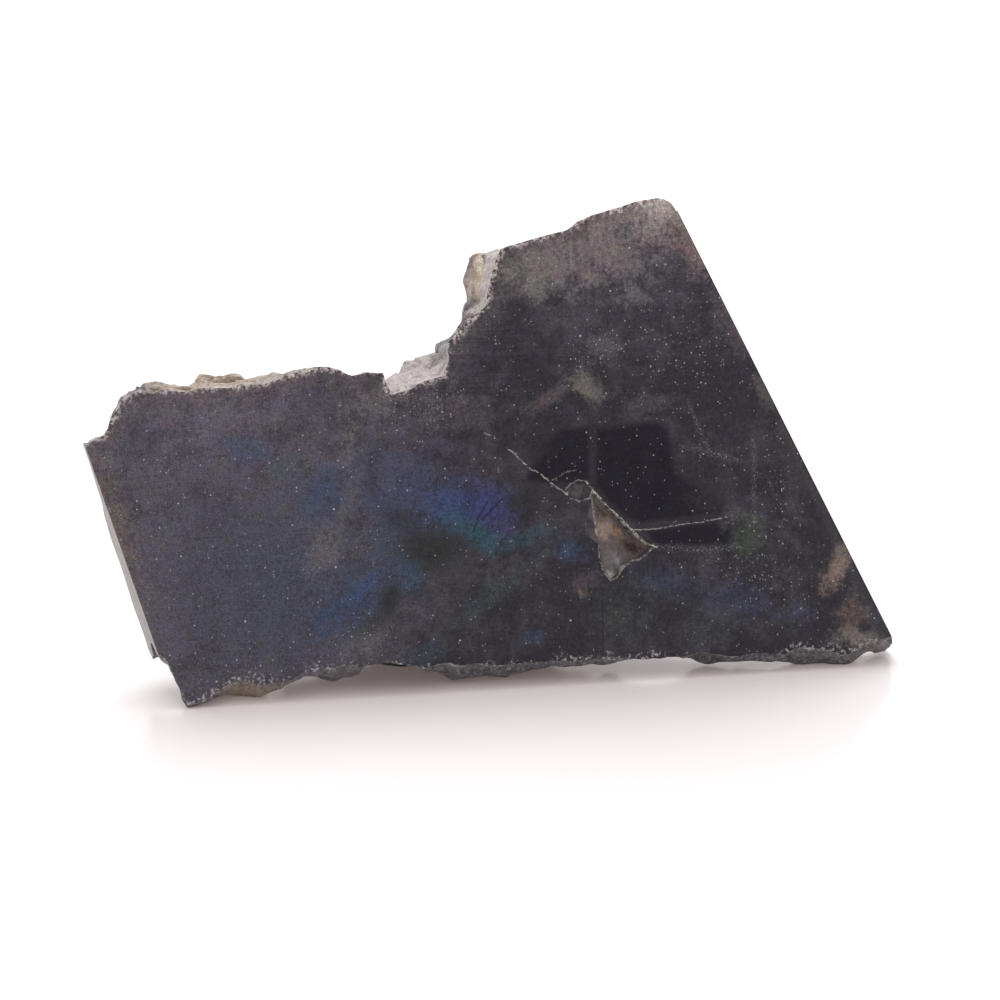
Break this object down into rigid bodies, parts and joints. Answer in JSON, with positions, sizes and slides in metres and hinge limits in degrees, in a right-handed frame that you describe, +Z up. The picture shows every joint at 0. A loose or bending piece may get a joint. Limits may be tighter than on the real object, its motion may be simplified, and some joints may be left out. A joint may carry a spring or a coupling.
{
  "type": "rough labradorite chunk",
  "caption": "Rough chunk of grey-violet labradorite, sawn flat on its front and ends and broken elsewhere, standing on its broken edge and leaning back.",
  "frame": {"origin": "on the surface it rests on, under the middle of its bounding box", "axes": "+X along the sawn front to its right end, +Y from the front into the stone, +Z up; the front leans back by 10 degrees about X"},
  "size_m": [0.0804, 0.0218, 0.0468],
  "materials": {
    "stone": "semi-matt where sawn, rough where broken"
  },
  "bodies": {
    "root": {"labradorite_chunk": "stone"}
  },
  "joints": []
}
